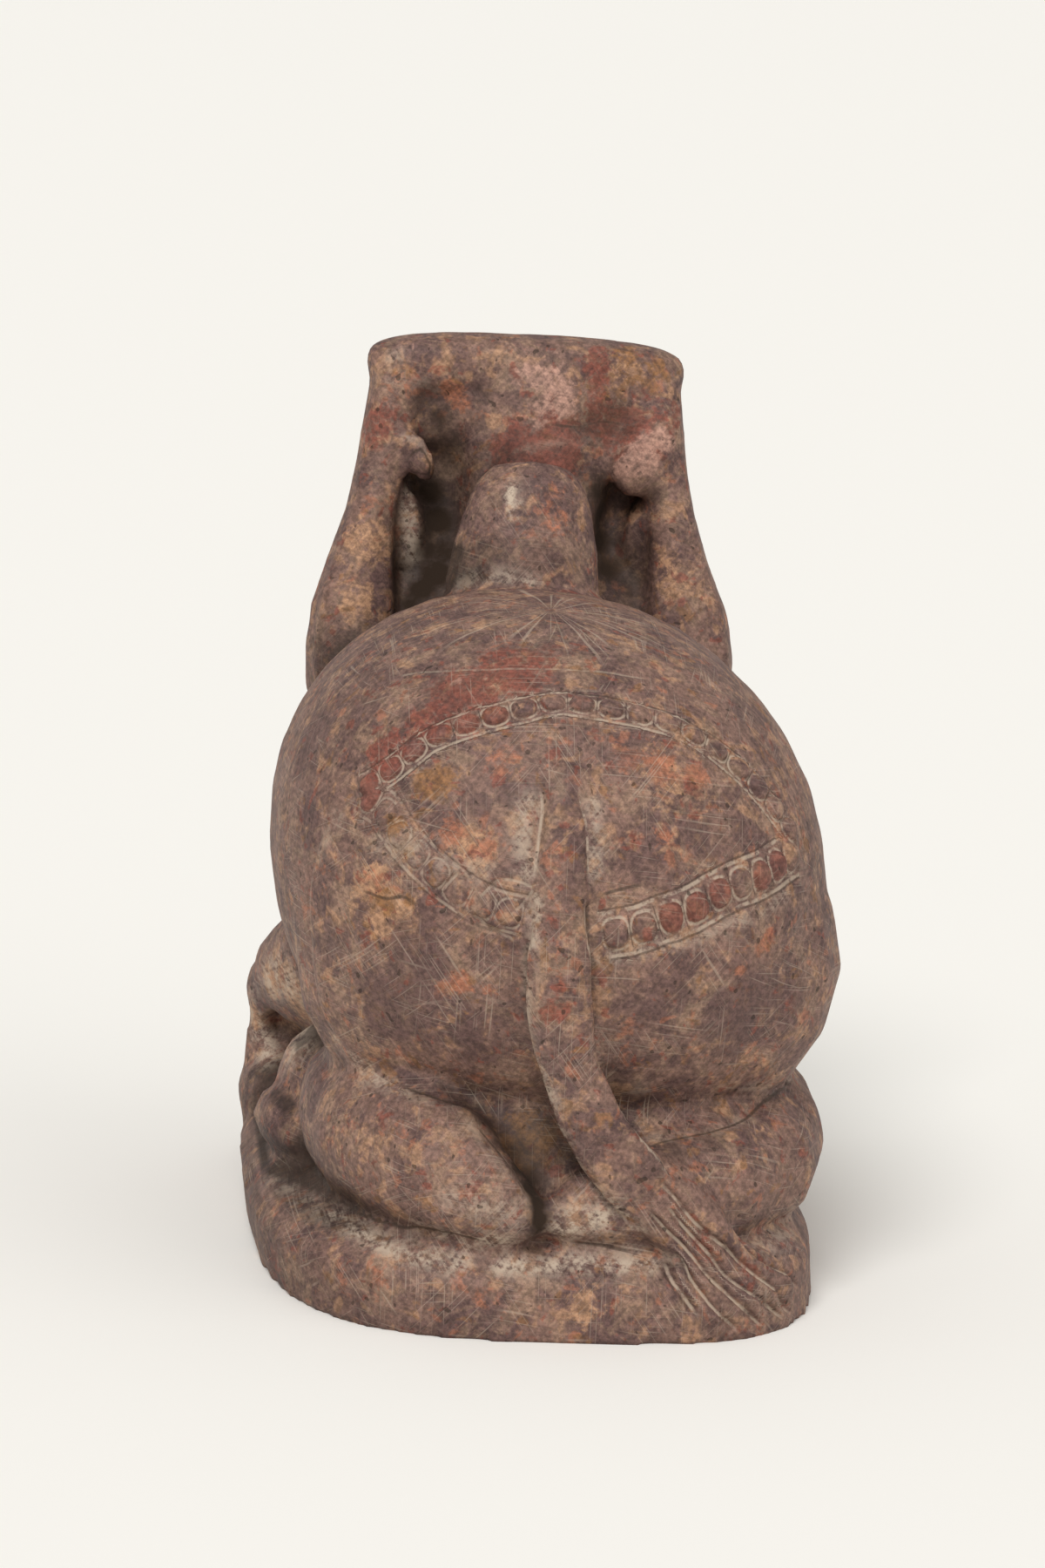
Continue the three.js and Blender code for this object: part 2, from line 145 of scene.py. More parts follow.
# Patches of colour: place and radius in millimetres, and strength.
BRICK_PATCHES = [
    ((9.1, 40.3, 88), 7, 0.8), ((3.5, 37, 90), 4, 0.5), ((15.5, 42.6, 85.4), 6.5, 0.9),
    ((20.5, 44.6, 81.6), 4.5, 0.9), ((26, 44, 77), 4.5, 0.9), ((2.4, 59.8, 45.5), 1.9, 1.2),
    ((2.4, 60.3, 49), 1.4, 0.7), ((3.3, 59.9, 57.7), 1.6, 0.7), ((1, 60, 56.1), 1.6, 0.6),
    ((2, 58.8, 67), 2, 0.5), ((-7.5, 56.5, 68.1), 1.5, 0.8), ((-15.4, 51, 74.5), 1.6, 0.8),
    ((-19, 58, 14), 2.6, 0.7), ((-26, 55, 8.5), 3, 0.6), ((-7.8, -29.9, 124.5), 3, 0.9),
    ((-7.8, -29.3, 121), 2.4, 0.7), ((3.7, -25.3, 114.2), 3, 0.8), ((-9, -30, 115.7), 5, 0.8),
    ((-14.5, -28, 115), 6.5, 0.7), ((-2.1, -24.2, 112.8), 6, 0.9), ((4.5, -23.8, 111.3), 5, 0.9),
    ((24.8, -29.2, 113.7), 4.5, 0.8), ((-21.5, -27.5, 117), 4, 0.7), ((36.7, 35.6, 4.2), 5, 0.5),
    ((10.3, 60.3, 21.3), 3, 0.4),
]
ORANGE_PATCHES = [
    ((16.8, 54.2, 68), 2.6, 0.8), ((12.8, 56, 66.1), 2.2, 0.7), ((11.3, 52.2, 76.7), 2.2, 0.7),
    ((9, 51.9, 78.6), 2.2, 0.6), ((15.2, 55, 47.6), 2.2, 1), ((17.5, 53.5, 45.8), 1.8, 0.8),
    ((11.2, 56, 46.6), 1.6, 0.6), ((-6.3, 51.5, 78.4), 2.8, 0.7), ((-11.1, 50.9, 77.3), 2.8, 0.9),
    ((-16.1, 49.5, 76.1), 2.6, 0.8), ((-11.1, 55.5, 68.6), 1.8, 0.7), ((-26.9, 49.3, 53.7), 2.2, 0.8),
    ((-23.1, 52.2, 50.5), 1.6, 0.6), ((27, 49, 60.3), 2.8, 0.6), ((28.4, 44.9, 25.4), 2.4, 0.5),
    ((24.6, 56.1, 6.5), 2.6, 0.6), ((9.6, 60.8, 5.8), 2.4, 0.6), ((0.1, -7.8, 106.7), 3, 0.6),
    ((-0.9, -6.2, 103.1), 2.6, 0.6), ((13.6, -30.4, 119.7), 2.2, 1), ((11.8, -30.5, 117.6), 2, 0.8),
    ((19.9, -30.2, 120.3), 3.4, 0.6), ((-25.6, -24, 90), 2.6, 0.6),
]
OCHRE_PATCHES = [
    ((4, 51.5, 25), 5, 0.9), ((19.6, 50.6, 73.6), 3, 1), ((17, 51.6, 75.2), 2.2, 0.7),
    ((24.2, 49.9, 67.8), 1.8, 1.1), ((22.6, 52.4, 64.6), 1.5, 0.8), ((25.3, 50.3, 57.4), 2.4, 0.8),
    ((22.6, 52.4, 58.2), 1.4, 0.7), ((-12.4, -30.1, 125.6), 4, 0.55), ((-15.8, -30.1, 123.4), 4.6, 0.6),
    ((-10.5, -29.5, 120.5), 3.6, 0.5),
]
# Tan patches. The three on the horn struts and the six over the knee are partly painted light: they lighten
# places that lie in shade.
TAN_AND_LIGHT_PATCHES = [
    ((26, -24.5, 97), 5, 0.65), ((26.5, -21.5, 89), 5, 0.6), ((-20.5, -24, 94), 4.5, 0.65),
    ((37.3, -16.1, 32.1), 3.4, 1), ((33.8, -7.2, 32.2), 3.4, 1), ((32.2, -10.1, 28.3), 2.6, 0.9),
    ((35, -9.5, 33), 4.5, 1), ((32.1, 1.4, 28.9), 3.5, 0.8), ((38.6, -28.6, 24), 2.6, 0.9),
    ((24.6, 50.9, 55.4), 4.6, 1.1), ((26.8, 48.6, 59.2), 3.4, 0.9), ((14.5, 55.5, 66), 4.5, 0.7),
    ((25.1, 50.9, 24.5), 4, 0.5), ((20.7, 56.1, 24.7), 3, 0.5), ((-3.8, 60.8, 5.5), 4, 0.6),
    ((28.1, 46.5, 16), 3.4, 0.5), ((-12.4, -29.6, 122), 5, 0.5), ((-12, 50, 76), 7, 0.5),
]
PLUM_PATCHES = [
    ((9, 53.8, 73.2), 2.4, 0.8), ((13.2, 53.6, 72), 2.4, 0.8), ((1.5, 56.6, 72), 2.6, 0.5),
    ((20.6, 53.1, 50), 7, 0.85), ((23.5, 48.6, 42.4), 8, 0.9), ((12, 55, 38), 7, 0.7),
    ((-8.8, 57.3, 64), 3, 0.8), ((-16, 53.6, 68.6), 4, 0.7), ((-24, 50.8, 68), 4, 0.7),
    ((-12, 56.4, 47), 6, 0.8), ((-24, 50, 44), 8, 0.9), ((-30.5, 45, 44.4), 6, 0.8),
    ((28, 33, 84), 7, 0.6), ((34, 25, 74), 9, 0.7), ((27, 40, 22), 6, 0.6),
]
PINK_PATCHES = [
    ((1.3, -28.4, 122.6), 3.4, 0.7), ((-1.6, -27.9, 121), 3.4, 0.8), ((-3, -27, 118.4), 2.8, 0.8),
    ((0.3, -26.5, 117), 2.8, 0.6), ((-12.6, -26, 109.6), 2.6, 0.9), ((-15.2, -25.8, 111.6), 3.2, 1),
    ((-17.4, -26.3, 114), 2.8, 0.8),
]
# Pale rubbed dust: line and half width in millimetres, and strength. The lines over the knee and on the leaf
# beside the left pocket are partly painted light.
DUST_AND_LIGHT_LINES = [
    ([(7, 55.2, 72.5), (7.7, 56.8, 67.6), (6.9, 57.6, 63.8)], 1.7, 0.85),
    ([(-1.5, 55.4, 72.8), (-1.9, 57.1, 68), (-2.2, 57.8, 64)], 1.3, 0.8),
    ([(-3.2, 58.1, 52), (-10.5, 57.4, 53.6), (-20.2, 54, 56), (-29.4, 45.9, 59.3)], 1, 0.7),
    ([(25.4, 48, 65), (20, 53.8, 64.4), (12, 56.9, 62.8)], 1.8, 0.55),
    ([(31.6, 41.5, 67.4), (33.6, 39, 61.5)], 1.2, 0.6),
    ([(30, 41.5, 11.2), (23.5, 53.5, 11.2), (15, 59.6, 11.6), (7.7, 60.5, 11.6)], 1.6, 1.3),
    ([(7.7, 60.5, 11.4), (0.2, 59.5, 11.6), (-6.9, 58.8, 10.6), (-12, 58, 10.4)], 1.6, 1.4),
    ([(-0.4, 58.4, 14.8), (-2.7, 59, 16.6), (-5.4, 59.2, 16.6)], 2.2, 1.5),
    ([(14, 58.8, 19), (9, 59.6, 18.2), (6.5, 59.6, 17.2)], 2, 0.7),
    ([(31, 35.8, 35.2), (26.3, 40.8, 32.2), (20.8, 47.8, 30.4)], 0.7, 1.3),
    # Partly painted light over the knee.
    ([(37.3, -16.1, 32.1), (35.6, -10.4, 34.1), (33.8, -7.2, 32.2), (33.5, 6.7, 27.5)], 3.2, 1.3),
    ([(38.6, -28.6, 25), (37.7, -28.7, 20.7), (36.1, -24.2, 17.5)], 2.2, 1.3),
    ([(-8, 55, 31), (-20, 51, 29.5), (-31, 38, 30)], 1.2, 0.45),
    ([(5.9, -8.8, 107.6), (5.8, -7.8, 106.2), (5.4, -6.4, 104)], 0.8, 2.2),
    ([(12.9, -7.7, 93.7), (10.2, -5, 95), (6.5, -3.1, 95.4), (2.5, -2.2, 94.4)], 1.1, 0.85),
    # Partly painted light on the leaf beside the left pocket.
    ([(19.6, -30.9, 104), (18.9, -29.5, 99.6), (18.2, -29.5, 94.4)], 1.6, 1.1),
    ([(20, -27.3, 112.8), (18.1, -26.9, 112.1), (16.6, -26.9, 110.4), (16, -28.5, 107.5)], 0.7, 0.5),
    ([(3.5, -24.7, 111.6), (-2.2, -25.2, 112.9), (-7.5, -27.1, 113.4)], 0.6, 0.35),
    ([(21.6, -30.6, 124.3), (22.6, -30.6, 123.9)], 1.2, 0.6),
    ([(15.9, -30.6, 119.8), (22.5, -28, 121)], 1.2, 0.4),
    ([(-30, 49.5, 13), (-36, 38, 12)], 2.2, 0.6),
    # Partly painted light over the knee.
    ([(35.6, -11, 33.5), (38, -20, 31.5), (39.1, -27.2, 27.7), (38, -30, 21)], 1.4, 0.6),
    ([(31, 35, 34), (26.5, 41.5, 31.2), (20.5, 48.5, 29.5), (14.7, 52, 28.8)], 1, 0.5),
    ([(12.6, 54.7, 28.3), (10.3, 57.4, 25.4), (6.6, 58.9, 21), (3.7, 57.6, 16)], 1.2, 0.4),
    ([(38, 20, 13), (30, 44, 12.6), (18, 56.5, 12.6), (4, 58, 12.8)], 1.8, 0.6),
    ([(4, 58.5, 12.9), (-6, 58, 12.4), (-15, 58.5, 11)], 1.5, 0.55),
]
# Painted shade in the hollows and creases: place and radius in millimetres, and strength.
DARK_PLACES = [
    ((15.8, -34, 103.8), 3.4, 1.2), ((14.6, -32.7, 99.4), 3.6, 1.3), ((14.2, -31, 95), 3.6, 1.3),
    ((15, -29, 92), 3.6, 1.5), ((16.4, -28, 89.5), 3.2, 1.4), ((18.2, -26.8, 87.2), 2.8, 1.2),
    ((-8.6, -27.5, 106), 3.4, 1.1), ((-9.4, -30, 102), 3.6, 1.2), ((-10, -30.5, 98), 3.6, 1.2),
    ((-11, -29.5, 94), 3.6, 1.1), ((-14.8, -28.5, 91.5), 3.6, 0.7), ((-17, -27, 105.5), 1.8, 0.7),
    ((17.2, -31, 117.8), 2.8, 0.8), ((15.4, -31.2, 115.2), 2.8, 0.9), ((14, -31.8, 112), 3, 0.8),
    ((13, -33, 109), 3.2, 0.5), ((9.2, -29, 119.5), 1.6, 0.5), ((9.4, -28.5, 115), 1.4, 0.5),
    ((-5.4, -26.5, 115.8), 2.6, 0.5), ((-11, -29, 116.2), 3.4, 0.75), ((-7.5, -27.5, 115.8), 3, 0.7),
    ((-5, -25.5, 109.6), 2.6, 0.5), ((9, 51, 27), 3.4, 0.7), ((6, 53, 24.5), 3.6, 0.9),
    ((4, 54.5, 21.5), 3.2, 1.1), ((8, 54.5, 25.5), 2.2, 1), ((5.6, 55.8, 22.8), 2.2, 1.2),
    ((3.9, 57, 20.3), 2, 1.5), ((3.4, 57.8, 18.4), 1.9, 1.5), ((3, 58.4, 16.4), 1.8, 1.5),
    ((2.8, 58.6, 14.6), 1.6, 1.2), ((2.5, 51.2, 25.6), 4.4, 0.5), ((-15, 55, 26), 3, 0.6),
    ((-20.5, 50, 25.5), 2.6, 0.5),
]
# Places where the painted shade is taken off, so that they stay lighter: place and radius in millimetres.
UNSHADED_PLACES = [
    ((36, -13, 31.5), 10), ((37, -28, 21), 6), ((26, -24.5, 98), 7), ((26, -21.5, 90), 7),
    ((-20.5, -24, 94), 6.5), ((-21, -22, 88.5), 5.5), ((18.9, -30, 99.5), 3),
]
# Dark lines of painted shade along creases and the edges of hollows: line and half width in millimetres.
DARK_LINES = [
    ([(21.5, 46.2, 31.3), (17.5, 49.4, 30.8), (14.7, 50.7, 30.4), (9.7, 48.5, 29.3)], 0.8),
    (
        [(32.5, 18.7, 14.4), (27.6, 40, 12.5), (23.2, 47.7, 12.5), (16.7, 56, 13.2), (9.9, 58, 13.5)],
        0.6,
    ),
    ([(-1, 56.9, 12.9), (-5.8, 56.7, 12.4), (-10.7, 55.7, 11.6)], 0.5),
    ([(12, 54, 28), (9.4, 55.8, 26), (6.3, 57.4, 22.4), (4, 58.4, 19)], 1.2),
    ([(4.2, 56.5, 22), (3.9, 57.3, 20.1), (3, 58.5, 18), (3, 58.9, 15)], 1),
    ([(-1, -26, 115.6), (-5.4, -26.5, 115.3), (-8.8, -28.3, 116), (-13.5, -29.6, 115.7)], 1.4),
    ([(20, -28, 109), (18, -27, 110.8), (16.8, -27, 109), (16.8, -28, 106.8)], 0.5),
    ([(28.3, 47.5, 58.4), (25.5, 50.2, 57.8), (23, 52.1, 58.5), (21.2, 53.2, 57.6)], 0.5),
    ([(-2.6, 57.9, 60.6), (-5.5, 57.6, 61.6), (-9, 57, 62.4)], 0.4),
    ([(-10.6, 55, 26), (-17.5, 50.9, 27), (-25.6, 43.9, 27.4), (-34.5, 27.3, 29.3)], 0.9),
]

# The face, plainly cut. Each line of it and the eye are repeated on the other side of the bull's middle.
MIDDLE_X = 2.1
EYE = (13.5, -50.1, 111)
EYE_HALF_LENGTH = 4.6
EYE_HALF_HEIGHT = 2.9
FACE_LINES = [
    [(9.5, -48, 97), (7.5, -55, 93.5), (3.5, -58.2, 91.5), (0, -58.6, 91.2)],
    [(2.4, -58.6, 100), (3.6, -58.4, 101.2), (5.2, -58, 100.6), (5.6, -57.6, 98.8)],
    [(0, -57, 105), (6, -55.6, 104.6), (10.5, -50, 103.5), (13, -43, 104)],
    [(5, -58, 86), (7.5, -52, 76), (8, -50, 62)],
    [(9, -53, 84), (12, -46, 74), (14, -42, 64)],
]
# One plain cut in each fore hoof.
HOOF_LINES = [
    [(29, -48.5, 22), (29.5, -50, 17), (29.6, -49, 14)],
    [(-30, -46.5, 22), (-30.5, -49, 17), (-30.6, -47, 14)],
]

# What is marked at each vertex, and which of it lies in patches.
MARKS = ("dust", "grime_and_shade", "shade", "brick", "orange", "ochre", "tan", "plum", "pink", "bead")
PATCHES = {
    "grime_and_shade": DARK_PLACES,
    "brick": BRICK_PATCHES,
    "orange": ORANGE_PATCHES,
    "ochre": OCHRE_PATCHES,
    "tan": TAN_AND_LIGHT_PATCHES,
    "plum": PLUM_PATCHES,
    "pink": PINK_PATCHES,
}

# Millimetres between the points of a laid line, and how far from a groove its dust can lie.
LINE_STEP = 0.3
GROOVE_REACH = 1.6
# How far in and out again the form is worn in one round of softening.
SOFTEN_IN = 0.5
SOFTEN_OUT = -0.515
# Millimetres round the lines within which the mesh is divided, and the rounds of softening after it.
FINE = (3.0, 2)
FINEST = (2.3, 1)
# Unevenness of the stone: height and size of its waves in millimetres, and a number that shifts them.
UNEVENNESS = ((0.16, 9.0, 1.0), (0.06, 2.6, 5.0))
# Millimetres that the stone stays inside the solid's box, and the height under which the base is flat.
BOX_MARGIN = 0.02
FLAT_BELOW = 0.35
# Directions looked in from each vertex, how far in millimetres, and how much of the light the floor hides.
SKY_RAYS = 20
SKY_REACH = 22.0
FLOOR_SHARE = 0.5
MOST_TRIANGLES = 200000

# The stone's spots: colour, how many to a metre, the noise where one starts and is full, and strength.
SPOTS = (
    ("tan", 290, 0.55, 0.66, 0.60),
    ("orange", 330, 0.60, 0.68, 0.58),
    ("ochre", 290, 0.61, 0.69, 0.60),
    ("plum", 200, 0.57, 0.67, 0.65),
    ("brick", 380, 0.61, 0.68, 0.72),
    ("pink", 340, 0.68, 0.74, 0.50),
)
# Sets of parallel rubbing marks: the turn of each about the three axes, and the axis that it is thin along.
RUBBED = [
    ((0.0, 0.0, 0.0), 0),
    ((0.0, 0.62, 0.0), 0),
    ((0.0, -0.75, 0.0), 0),
    ((0.0, 1.40, 0.0), 0),
    ((-1.1, 0.0, 0.0), 1),
    ((0.5, 0.0, 0.0), 1),
]
# Width and length in metres of the scratches and of the softer streaks.
SCRATCH_SIZE = (0.00019, 0.012)
STREAK_SIZE = (0.0005, 0.0095)

# The camera: degrees round the figure, above it and of tilt, target in millimetres, distance in metres.
CAMERA_TURNS = (174.6, 9.5, 3.0)
CAMERA_TARGET = (3.25, 5.417, 66.6)
CAMERA_DISTANCE = 0.7
LENS_LENGTH = 112
SENSOR_HEIGHT = 36
FLOOR_RADIUS = 200
# Where the two lights come from, and how many degrees of the sky each fills.
KEY_LIGHT = ((0.35, 0.85, 1.0), 26)
FILL_LIGHT = ((-0.85, 0.6, 0.5), 60)


def colour_setting(name, description, linear):
    return FloatVectorProperty(
        name=name, description=description, subtype="COLOR", size=4, default=(*linear, 1)
    )


def length_setting(name, description, metres, **limits):
    return FloatProperty(name=name, description=description, default=metres, unit="LENGTH", **limits)


def strength_setting(name, description, strength):
    return FloatProperty(name=name, description=description, default=strength)


class NandiStoneSettings(PropertyGroup):
    mesh_size: length_setting(
        "Mesh size",
        "Length of an edge of the stone's mesh away from the fine carving",
        0.0011,
        min=0.0006,
        max=0.004,
    )
    softening: IntProperty(
        name="Softening",
        description="Rounds of smoothing that wear the creases down",
        default=7,
        min=0,
        max=60,
    )
    bead_length: length_setting("Bead length", "Length of a bead and its gap along the strap", 0.0041)
    bead_rise: length_setting("Bead rise", "How far a bead stands out of the strap", 0.0005)
    groove_depth: length_setting("Groove depth", "Depth of the incised lines", 0.0004)
    tail_rise: length_setting("Tail rise", "How far the tail is lifted further out of the rump", 0.0013)
    mauve: colour_setting("Mauve", "The stone's main colour", (0.185, 0.106, 0.082))
    plum: colour_setting("Plum", "The stone's dark clouds", (0.108, 0.060, 0.053))
    buff: colour_setting("Buff", "The stone's light clouds", (0.30, 0.189, 0.124))
    # The tan colour also paints light onto the horn struts and the knee.
    tan: colour_setting("Tan", "The stone's light brown spots", (0.37, 0.205, 0.116))
    orange: colour_setting("Orange", "The stone's orange spots", (0.31, 0.118, 0.066))
    ochre: colour_setting("Ochre", "The stone's yellow brown spots", (0.22, 0.103, 0.040))
    brick: colour_setting("Brick", "The stone's red spots", (0.185, 0.054, 0.036))
    pink: colour_setting("Pink", "Chalky pink places", (0.36, 0.205, 0.155))
    # The dust colour also paints light onto the knee and the leaf beside the left pocket.
    dust: colour_setting("Dust", "Pale dust in the carving", (0.52, 0.415, 0.32))
    # The dark colour that paints shade into hollows, creases and strap gaps, and dirt into pits and cuts.
    grime_and_shade: colour_setting("Grime", "Dark dirt in the hollows", (0.032, 0.019, 0.012))


class NandiStageSettings(PropertyGroup):
    floor_colour: colour_setting("Floor", "Colour of the floor", (0.943, 0.926, 0.885))
    sky_colour: colour_setting("Surrounding colour", "Colour of the even light", (1.0, 0.985, 0.95))
    sky: strength_setting("Surrounding light", "Strength of the even light all round", 0.53)
    key_strength: strength_setting("Key light", "Strength of the light from above", 1.8)
    fill_strength: strength_setting("Fill light", "Strength of the light from the right", 0.4)


def smooth_line(points):
    """A smooth line through the points, with a point about every LINE_STEP."""
    given = np.array(points, float)
    ends = np.vstack([2 * given[0] - given[1], given, 2 * given[-1] - given[-2]])
    pieces = []
    for a, b, c, d in zip(ends, ends[1:], ends[2:], ends[3:]):
        count = max(1, math.ceil(np.linalg.norm(c - b) / LINE_STEP))
        t = np.arange(count)[:, None] / count
        curve = 2 * b + (c - a) * t + (2 * a - 5 * b + 4 * c - d) * t**2
        curve += (3 * b - a - 3 * c + d) * t**3
        pieces.append(0.5 * curve)
    return np.vstack([*pieces, given[-1:]])


def line_length(line):
    return np.linalg.norm(np.diff(line, axis=0), axis=1).sum()


def smooth_step(low, high, value):
    share = np.clip((value - low) / (high - low), 0, 1)
    return share * share * (3 - 2 * share)


def bell(value):
    """A smooth hump that is 1 at 0 and falls off on both sides."""
    return np.exp(-(value**2))


def moved_across(line, distance):
    """The line, moved so many millimetres towards the bull's left."""
    return [(x + distance, y, z) for x, y, z in line]


def mirrored_lines(lines):
    """The lines with their likenesses on the other side of the bull's middle."""
    return [*lines, *([(2 * MIDDLE_X - x, y, z) for x, y, z in line] for line in lines)]


def eye_rings():
    """An almond round each eye."""
    x, y, z = EYE
    ring = []
    for turn in np.linspace(0.35, 2 * math.pi + 0.35, 17):
        lift = EYE_HALF_HEIGHT * math.sin(turn) * abs(math.sin(turn)) ** 0.3
        ring.append((x, y + EYE_HALF_LENGTH * math.cos(turn), z + lift))
    return mirrored_lines([ring])


def plain_lines():
    """The lines of the face and the hooves."""
    return [*mirrored_lines(FACE_LINES), *HOOF_LINES, *eye_rings()]


def grooves():
    """Incised lines with half width, depth in groove depths, dust, dark of dirt and painted shade, and
    length of the fading ends.
    """
    return [
        ([TAIL_LEFT_EDGE], 0.5, 1.0, 0.6, 0.0, 2.0),
        ([moved_across(TAIL_RIGHT_EDGE, TAIL_RIM_WIDTH)], 0.5, 0.0, 0.9, 0.0, 2.0),
        # The dark along the tail's right edge is a painted shadow.
        ([TAIL_RIGHT_EDGE], 0.8, 1.8, 0.2, 0.6, 2.0),
        (TAIL_ROOT, 0.8, 1.4, 1.0, 0.0, 2.0),
        (TUFT, 0.5, 2.2, 1.1, 0.0, 2.0),
        (STRAP_WORN_LINES, 0.4, 0.8, 0.7, 0.0, 0.8),
        (plain_lines(), 0.9, 2.4, 0.0, 0.8, 0.8),
        *(([line], half_width, 1.2, 0.1, 0.75, 2.0) for line, half_width in DARK_LINES),
        (BURST_LINES, 0.35, 0.7, 0.25, 0.2, 3.0),
        ([BACK_LINE], 0.3, 0.6, 0.55, 0.0, 2.0),
        ([HAUNCH_LINE], 0.9, 0.6, 0.3, 0.0, 2.0),
    ]


def merged_copy(solid, name):
    """A copy of the solid's mesh with its loose triangles joined up."""
    form = bmesh.new()
    form.from_mesh(solid.data)
    bmesh.ops.remove_doubles(form, verts=form.verts, dist=1e-6)
    mesh = bpy.data.meshes.new(name)
    form.to_mesh(mesh)
    form.free()
    return mesh


def even_mesh(stone, size):
    """Gives the stone an even mesh of about that edge length."""
    modifier = stone.modifiers.new("even mesh", "REMESH")
    modifier.mode = "VOXEL"
    modifier.voxel_size = size
    modifier.adaptivity = 0
    even = bpy.data.meshes.new_from_object(stone.evaluated_get(bpy.context.evaluated_depsgraph_get()))
    stone.modifiers.clear()
    stone.data = even


def mesh_points(mesh):
    """The places of the mesh's vertices, in millimetres."""
    flat = np.empty(len(mesh.vertices) * 3)
    mesh.vertices.foreach_get("co", flat)
    return flat.reshape(-1, 3) / MM


def in_box_round(line, points, reach):
    """The numbers of the points in the box that lies so far round the line."""
    low, high = line.min(0) - reach, line.max(0) + reach
    return np.flatnonzero(((points > low) & (points < high)).all(1))


def refine(mesh, lines, reach):
    """Divides the faces near the lines once."""
    points = mesh_points(mesh)
    near = np.zeros(len(points), bool)
    for line in lines:
        which = in_box_round(line, points, reach)
        for spot in line[:: max(1, int(reach / 0.6))]:
            near[which] |= ((points[which] - spot) ** 2).sum(1) < reach**2
    form = bmesh.new()
    form.from_mesh(mesh)
    form.verts.ensure_lookup_table()
    edges = [e for e in form.edges if near[e.verts[0].index] and near[e.verts[1].index]]
    bmesh.ops.subdivide_edges(form, edges=edges, cuts=1, use_grid_fill=True)
    form.to_mesh(mesh)
    form.free()


